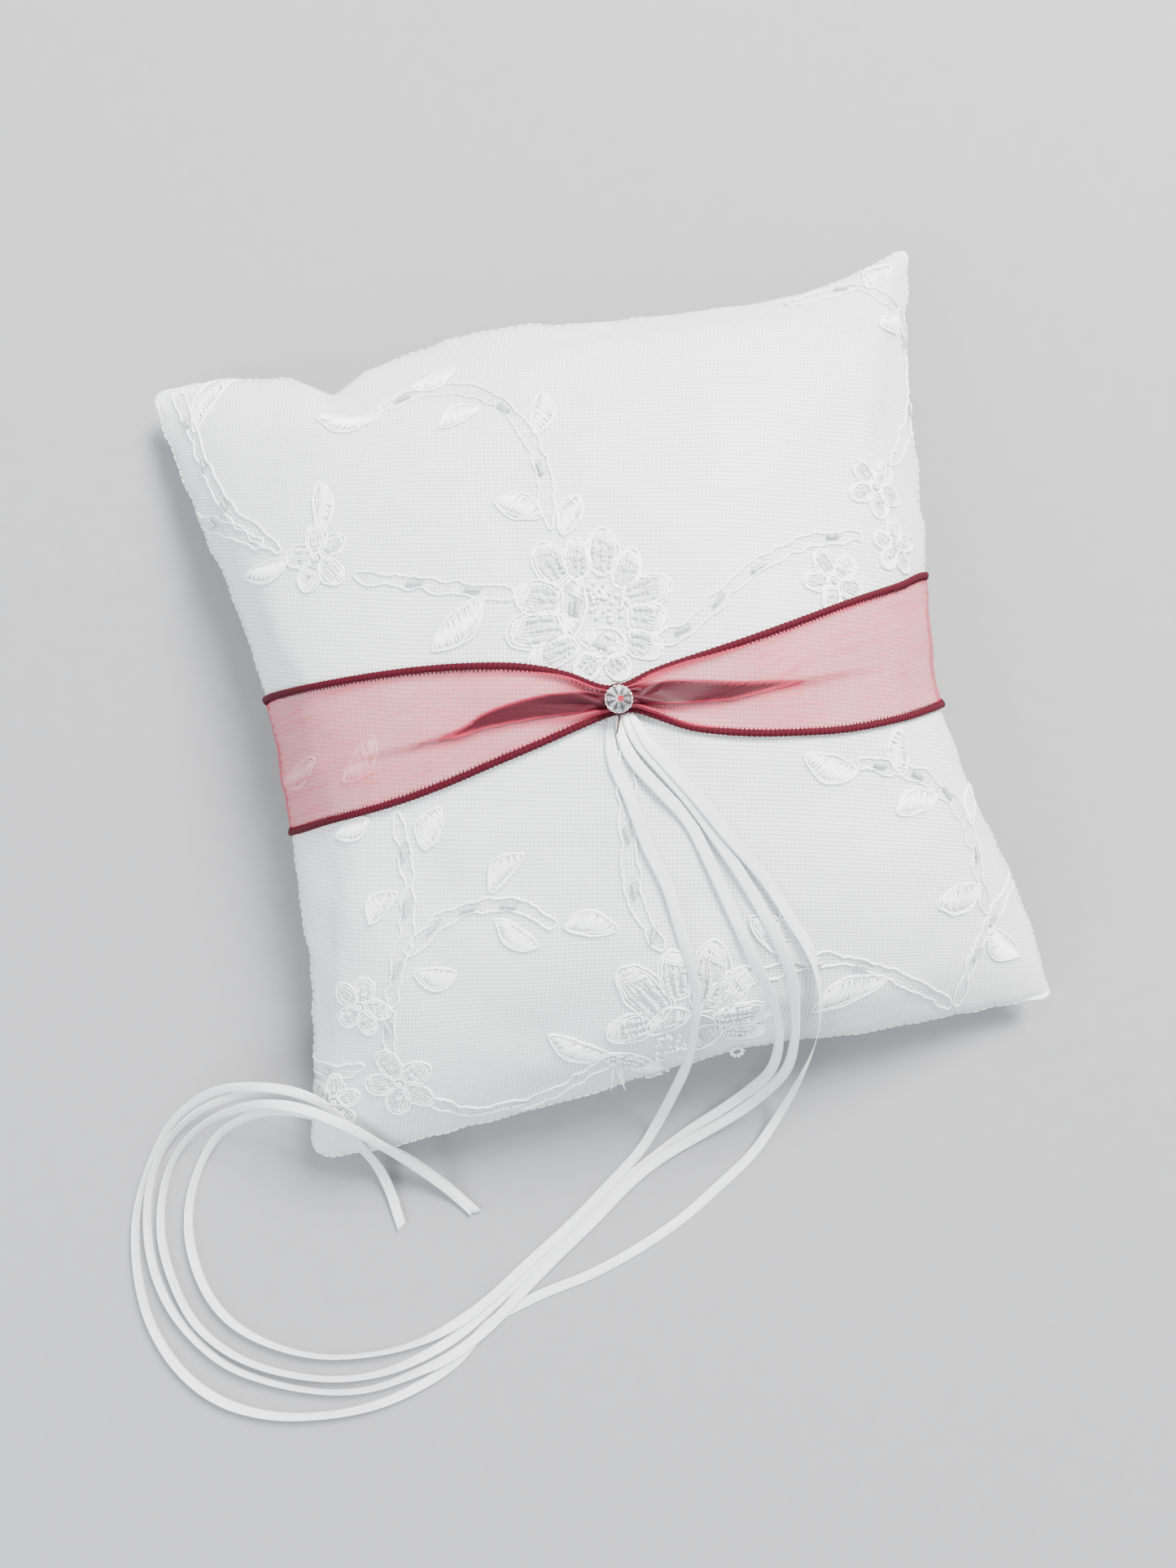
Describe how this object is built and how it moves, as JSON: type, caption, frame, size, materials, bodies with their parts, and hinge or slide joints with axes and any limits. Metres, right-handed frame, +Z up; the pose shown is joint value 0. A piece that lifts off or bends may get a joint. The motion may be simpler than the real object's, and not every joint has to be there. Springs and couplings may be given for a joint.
{
  "type": "ring bearer pillow",
  "caption": "Square stuffed satin pillow under beaded net lace, with a sheer sash gathered at the middle by a set crystal, and narrow ribbon tails for tying on wedding rings",
  "frame": {"origin": "Middle of the pillow's footprint, on the surface it rests on; the ribbon tails are left out of this measure", "axes": "+X along the sash, +Y to the far side away from the ribbon tails, +Z up through the stone side of the pillow"},
  "size_m": [0.2824, 0.3034, 0.0762],
  "materials": {
    "filling": "loft polyester fibre",
    "satin": "white satin",
    "net": "fine white net",
    "white_thread": "twisted white thread",
    "embroidery": "white satin stitch",
    "bugle_glass": "silver-lined clear glass",
    "seed_glass": "clear glass",
    "organza": "sheer organza",
    "wine_cord": "close overlocked edge",
    "wine_thread": "sewing thread",
    "cup_metal": "polished silver plate",
    "crystal": "cut crystal",
    "ribbon": "narrow white satin ribbon"
  },
  "bodies": {
    "root": {"fibre_filling": "filling", "satin_front_panel": "satin", "satin_back_panel": "satin", "net_front": "net", "net_back": "net", "edge_seam_thread": "white_thread", "vine_cording": "white_thread", "leaf_embroidery": "embroidery", "flower_embroidery": "embroidery", "back_lace": "embroidery", "bugle_beads": "bugle_glass", "seed_beads": "seed_glass", "sash": "organza", "sash_upper_cord": "wine_cord", "sash_lower_cord": "wine_cord", "sash_joining_stitches": "wine_thread", "gathering_thread": "wine_thread", "stone_cup": "cup_metal", "crystal_stone": "crystal", "ribbon_tail_1": "ribbon", "ribbon_tail_2": "ribbon", "ribbon_tail_3": "ribbon", "ribbon_tail_4": "ribbon"}
  },
  "joints": []
}
